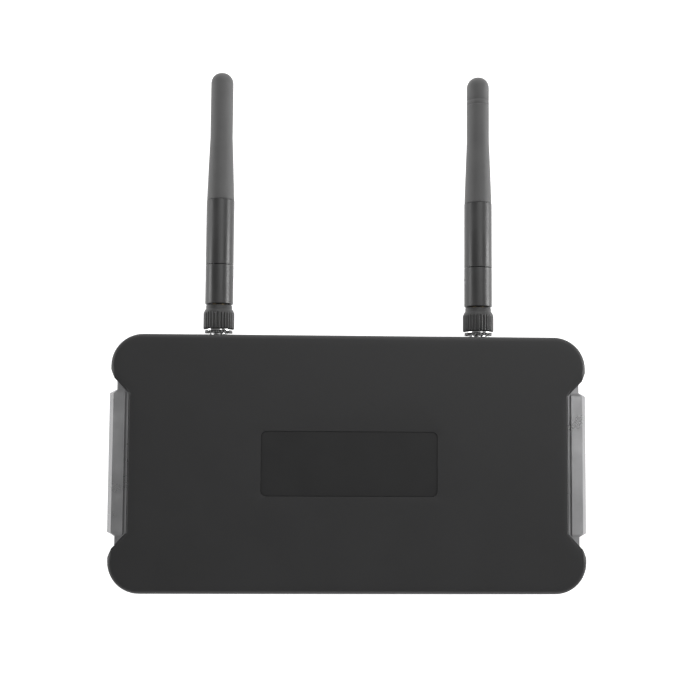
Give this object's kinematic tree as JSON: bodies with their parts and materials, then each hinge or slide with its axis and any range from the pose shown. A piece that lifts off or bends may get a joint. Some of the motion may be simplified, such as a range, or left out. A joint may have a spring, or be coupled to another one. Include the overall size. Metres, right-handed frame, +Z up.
{
  "type": "wireless receiver unit",
  "caption": "Flat black desktop wireless audio receiver with silver side panels and swivelling, folding screw-on antennas at the rear.",
  "frame": {"origin": "centre of the case in plan, on the resting plane under the rubber feet", "axes": "+X to the right seen from the front, +Y to the rear where the antennas stand out, +Z up"},
  "size_m": [0.1668, 0.1855, 0.03],
  "materials": {
    "case_black": "fine sparked texture",
    "label_black": "smooth satin",
    "panel_silver": "semi-gloss metallic grey",
    "fascia_black": "satin",
    "window_tint": "polished smoked",
    "display_dark": "glossy",
    "rubber_black": "matte",
    "screw_black": "black oxide",
    "steel": "plain",
    "board_green": "solder mask",
    "component_black": "moulded",
    "light_pipe_clear": "clear",
    "connector_white": "moulded",
    "ribbon_grey": "flat cable",
    "shield_tin": "tinned",
    "capacitor_can": "drawn can",
    "brass": "plain",
    "nickel": "nickel plate",
    "key_grey": "satin",
    "shroud_black": "satin",
    "antenna_plastic": "semi-gloss",
    "antenna_rubber": "matte, slightly soft"
  },
  "bodies": {
    "root": {"audio_chips": "component_black", "board_connectors": "connector_white", "bottom_case": "case_black", "capacitors": "capacitor_can", "case_screws": "screw_black", "dc_jack": "component_black", "display_module": "display_dark", "display_window": "window_tint", "front_panel": "fascia_black", "front_pcb": "board_green", "front_pcb_screws": "steel", "indicator_leds": "light_pipe_clear", "label_plate": "label_black", "light_pipes": "light_pipe_clear", "main_pcb": "board_green", "output_jack": "component_black", "output_jack_contacts": "brass", "output_jack_nut": "nickel", "pcb_screws": "steel", "rear_panel": "fascia_black", "rf_shields": "shield_tin", "ribbon_cable": "ribbon_grey", "rubber_feet": "rubber_black", "side_panel_left": "panel_silver", "side_panel_right": "panel_silver", "sma_jack_left": "nickel", "sma_jack_right": "nickel", "tact_switches": "component_black", "top_cover": "case_black"},
    "left_plug": {"antenna_plug_left": "brass"},
    "left_nut": {"antenna_nut_left": "nickel", "nut_shroud_left": "shroud_black"},
    "left_base": {"antenna_base_left": "antenna_plastic", "hinge_pin_left": "steel"},
    "left_whip": {"hinge_sleeve_left": "antenna_plastic", "whip_cover_left": "antenna_rubber", "antenna_radiator_left": "brass"},
    "right_plug": {"antenna_plug_right": "brass"},
    "right_nut": {"antenna_nut_right": "nickel", "nut_shroud_right": "shroud_black"},
    "right_base": {"antenna_base_right": "antenna_plastic", "hinge_pin_right": "steel"},
    "right_whip": {"hinge_sleeve_right": "antenna_plastic", "whip_cover_right": "antenna_rubber", "antenna_radiator_right": "brass"},
    "key_body_1": {"key_1": "key_grey", "key_1_plunger": "component_black"},
    "key_body_2": {"key_2": "key_grey", "key_2_plunger": "component_black"},
    "key_body_3": {"key_3": "key_grey", "key_3_plunger": "component_black"},
    "key_body_4": {"key_4": "key_grey", "key_4_plunger": "component_black"},
    "power_body": {"power_button": "key_grey", "power_plunger": "component_black"}
  },
  "joints": [
    {"name": "left_unscrew", "type": "slide", "parent": "root", "child": "left_plug", "axis": [0, 1, 0], "range_m": [0, 0.00423]},
    {"name": "left_nut_turn", "type": "hinge", "parent": "left_plug", "child": "left_nut", "pos_m": [-0.0468, 0.05, 0.016], "axis": [0, 1, 0], "range_deg": [0, 2160]},
    {"name": "left_swivel", "type": "hinge", "parent": "left_plug", "child": "left_base", "pos_m": [-0.0468, 0.0575, 0.016], "axis": [0, 1, 0], "range_deg": [-180, 180]},
    {"name": "left_fold", "type": "hinge", "parent": "left_base", "child": "left_whip", "pos_m": [-0.0468, 0.0653, 0.016], "axis": [-1, 0, 0], "range_deg": [0, 90]},
    {"name": "right_unscrew", "type": "slide", "parent": "root", "child": "right_plug", "axis": [0, 1, 0], "range_m": [0, 0.00423]},
    {"name": "right_nut_turn", "type": "hinge", "parent": "right_plug", "child": "right_nut", "pos_m": [0.0468, 0.05, 0.016], "axis": [0, 1, 0], "range_deg": [0, 2160]},
    {"name": "right_swivel", "type": "hinge", "parent": "right_plug", "child": "right_base", "pos_m": [0.0468, 0.0575, 0.016], "axis": [0, 1, 0], "range_deg": [-180, 180]},
    {"name": "right_fold", "type": "hinge", "parent": "right_base", "child": "right_whip", "pos_m": [0.0468, 0.0653, 0.016], "axis": [-1, 0, 0], "range_deg": [0, 90]},
    {"name": "key_1_press", "type": "slide", "parent": "root", "child": "key_body_1", "axis": [0, 1, 0], "range_m": [0, 0.0005], "stiffness_N_per_m": 800, "springref_m": -0.0003},
    {"name": "key_2_press", "type": "slide", "parent": "root", "child": "key_body_2", "axis": [0, 1, 0], "range_m": [0, 0.0005], "stiffness_N_per_m": 800, "springref_m": -0.0003},
    {"name": "key_3_press", "type": "slide", "parent": "root", "child": "key_body_3", "axis": [0, 1, 0], "range_m": [0, 0.0005], "stiffness_N_per_m": 800, "springref_m": -0.0003},
    {"name": "key_4_press", "type": "slide", "parent": "root", "child": "key_body_4", "axis": [0, 1, 0], "range_m": [0, 0.0005], "stiffness_N_per_m": 800, "springref_m": -0.0003},
    {"name": "power_press", "type": "slide", "parent": "root", "child": "power_body", "axis": [0, 1, 0], "range_m": [0, 0.0005], "stiffness_N_per_m": 800, "springref_m": -0.0003}
  ],
  "couplings": [
    {"joint": "left_nut_turn", "follows": "left_unscrew", "rad_per_m": 8905.3},
    {"joint": "right_nut_turn", "follows": "right_unscrew", "rad_per_m": 8905.3}
  ]
}
